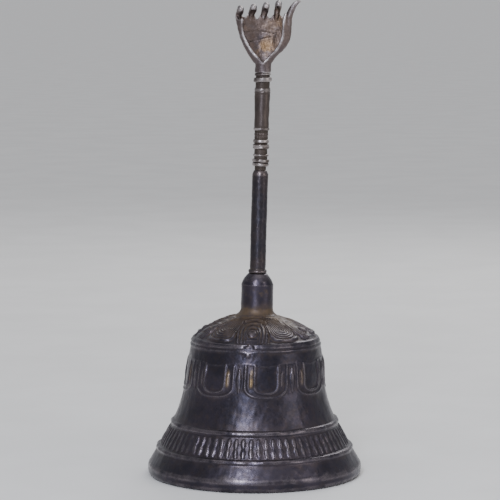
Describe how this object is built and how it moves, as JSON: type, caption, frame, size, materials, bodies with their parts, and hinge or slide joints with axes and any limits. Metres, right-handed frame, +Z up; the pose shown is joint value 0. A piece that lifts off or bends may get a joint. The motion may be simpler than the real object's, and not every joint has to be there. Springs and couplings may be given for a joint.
{
  "type": "tibetan bell",
  "caption": "Cast bronze hand bell with a lotus crown, a long ringed handle topped by a small hooked hand, and a clapper that swings on a link.",
  "frame": {"origin": "centre of the mouth in the plane of the rim, which the bell stands on", "axes": "+Z up the bell's axis towards the handle, +X towards the thumb's side of the hand, -Y the way the palm faces"},
  "size_m": [0.09, 0.09, 0.1989],
  "materials": {
    "bell_bronze": "dark patinated cast bronze, satin, worn to brown on the raised ornament",
    "shaft_bronze": "dark patinated bronze rod, satin, handled smooth",
    "grip_bronze": "brown patinated turned bronze, bright on the crests of the rings",
    "hand_bronze": "brown patinated cast bronze, golden in the palm, bright along the edges",
    "iron": "blackened iron with light rust",
    "clapper_iron": "cast iron ball, polished where it strikes"
  },
  "bodies": {
    "bell": {"bell_shell": "bell_bronze", "lower_shaft": "shaft_bronze", "ringed_grip": "grip_bronze", "hand_finial": "hand_bronze", "eye_bolt": "iron", "crown_washer": "iron", "lock_nut": "iron"},
    "link": {"clapper_link": "iron"},
    "clapper": {"clapper_rod": "iron", "clapper_ball": "clapper_iron", "clapper_washer": "iron"}
  },
  "joints": [
    {"name": "link_swing", "type": "hinge", "parent": "bell", "child": "link", "pos_m": [0.0004, 0, 0.05139], "axis": [1, 0, 0], "range_deg": [-20, 20]},
    {"name": "clapper_swing", "type": "hinge", "parent": "link", "child": "clapper", "pos_m": [0.0004, 0, 0.04439], "axis": [0, 1, 0], "range_deg": [-37, 37]}
  ]
}
